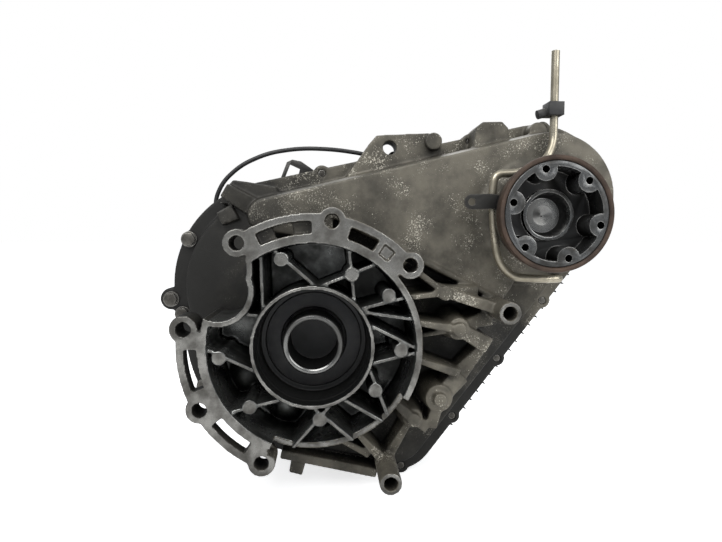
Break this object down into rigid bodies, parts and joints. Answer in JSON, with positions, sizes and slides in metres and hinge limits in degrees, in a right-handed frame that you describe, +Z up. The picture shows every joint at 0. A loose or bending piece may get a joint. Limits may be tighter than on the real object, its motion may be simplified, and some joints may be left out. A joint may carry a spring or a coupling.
{
  "type": "transfer case",
  "caption": "Two-speed transfer case with ribbed bell, planetary range set, centre differential, chain drive and finned rear casing.",
  "frame": {"origin": "input axis where it crosses the gearbox mating face", "axes": "+X right seen from the gearbox, +Z up, +Y rearwards along the shafts"},
  "size_m": [0.4989, 0.318, 0.4565],
  "materials": {
    "cast_alloy": "weathered sand-cast aluminium",
    "cast_alloy_dark": "oily cast aluminium",
    "zinc_bolt": "dull zinc",
    "machined_steel": "ground steel",
    "gear_steel": "oiled gear steel",
    "flange_steel": "turned steel with stains",
    "rusty_steel": "dull brown rust",
    "pipe_zinc": "yellowish zinc",
    "black_plastic": "dusty",
    "dark_steel": "dull",
    "black_rubber": "oily"
  },
  "bodies": {
    "case": {"annulus_gear": "gear_steel", "bell_housing": "cast_alloy", "breather_pipe": "pipe_zinc", "case_bolts": "zinc_bolt", "drain_and_filler_plugs": "zinc_bolt", "drive_chain": "gear_steel", "front_casing": "cast_alloy", "front_output_bearing": "machined_steel", "front_output_rear_bearing": "machined_steel", "front_output_seal": "black_rubber", "harness_clips": "black_plastic", "harness_lead": "black_rubber", "input_bearing": "machined_steel", "input_seal": "black_rubber", "oil_pickup": "machined_steel", "oil_pump_body": "cast_alloy", "pipe_clip": "black_plastic", "pipe_strap": "dark_steel", "rear_bearing": "machined_steel", "rear_casing": "cast_alloy_dark", "rear_seal": "black_rubber", "shift_motor": "black_plastic", "shift_motor_bolts": "zinc_bolt", "shift_rail": "machined_steel", "tail_bolts": "zinc_bolt", "tail_housing": "cast_alloy_dark", "wiring_bracket": "dark_steel"},
    "input": {"input_shaft": "machined_steel"},
    "carrier": {"planet_carrier": "machined_steel", "planet_pins": "machined_steel"},
    "planet_1": {"planet_gear_1": "gear_steel"},
    "planet_2": {"planet_gear_2": "gear_steel"},
    "planet_3": {"planet_gear_3": "gear_steel"},
    "planet_4": {"planet_gear_4": "gear_steel"},
    "mainshaft": {"rear_output_shaft": "machined_steel", "diff_case": "gear_steel", "diff_side_gears": "gear_steel", "diff_pinions": "gear_steel", "diff_pins": "gear_steel", "oil_pump_rotor": "gear_steel", "rear_output_flange": "flange_steel", "rear_flange_nut": "zinc_bolt"},
    "sleeve": {"range_sleeve": "gear_steel"},
    "fork": {"range_fork": "machined_steel"},
    "screw": {"shift_screw": "machined_steel"},
    "sprocket": {"drive_sprocket": "gear_steel"},
    "front_output": {"front_output_shaft": "machined_steel", "driven_sprocket": "gear_steel", "front_output_flange": "flange_steel", "dust_deflector": "rusty_steel"}
  },
  "joints": [
    {"name": "input_spin", "type": "hinge", "parent": "case", "child": "input", "pos_m": [0, 0, 0], "axis": [0, -1, 0], "continuous": true},
    {"name": "carrier_spin", "type": "hinge", "parent": "case", "child": "carrier", "pos_m": [0, 0, 0], "axis": [0, -1, 0], "continuous": true},
    {"name": "rear_output_spin", "type": "hinge", "parent": "case", "child": "mainshaft", "pos_m": [0, 0, 0], "axis": [0, -1, 0], "continuous": true},
    {"name": "chain_sprocket_spin", "type": "hinge", "parent": "case", "child": "sprocket", "pos_m": [0, 0, 0], "axis": [0, -1, 0], "continuous": true},
    {"name": "front_output_spin", "type": "hinge", "parent": "case", "child": "front_output", "pos_m": [0.22795, 0, 0.12506], "axis": [0, -1, 0], "continuous": true},
    {"name": "planet_1_spin", "type": "hinge", "parent": "carrier", "child": "planet_1", "pos_m": [0.0495, 0, 0], "axis": [0, -1, 0], "continuous": true},
    {"name": "planet_2_spin", "type": "hinge", "parent": "carrier", "child": "planet_2", "pos_m": [0, 0, 0.0495], "axis": [0, -1, 0], "continuous": true},
    {"name": "planet_3_spin", "type": "hinge", "parent": "carrier", "child": "planet_3", "pos_m": [-0.0495, 0, 0], "axis": [0, -1, 0], "continuous": true},
    {"name": "planet_4_spin", "type": "hinge", "parent": "carrier", "child": "planet_4", "pos_m": [0, 0, -0.0495], "axis": [0, -1, 0], "continuous": true},
    {"name": "shift_screw_turn", "type": "hinge", "parent": "case", "child": "screw", "pos_m": [-0.0708, 0, 0.09062], "axis": [0, 1, 0], "range_deg": [0, 1800]},
    {"name": "range_fork_slide", "type": "slide", "parent": "case", "child": "fork", "axis": [0, 1, 0], "range_m": [0, 0.01]},
    {"name": "range_sleeve_slide", "type": "slide", "parent": "mainshaft", "child": "sleeve", "axis": [0, 1, 0], "range_m": [0, 0.01]}
  ],
  "couplings": [
    {"joint": "carrier_spin", "follows": "input_spin", "ratio": 0.34091},
    {"joint": "rear_output_spin", "follows": "input_spin", "ratio": 1},
    {"joint": "chain_sprocket_spin", "follows": "input_spin", "ratio": 1},
    {"joint": "front_output_spin", "follows": "input_spin", "ratio": 1},
    {"joint": "planet_1_spin", "follows": "input_spin", "ratio": -1.4123},
    {"joint": "planet_2_spin", "follows": "input_spin", "ratio": -1.4123},
    {"joint": "planet_3_spin", "follows": "input_spin", "ratio": -1.4123},
    {"joint": "planet_4_spin", "follows": "input_spin", "ratio": -1.4123},
    {"joint": "shift_screw_turn", "follows": "range_fork_slide", "rad_per_m": 3141.6},
    {"joint": "range_sleeve_slide", "follows": "range_fork_slide", "ratio": 1}
  ]
}
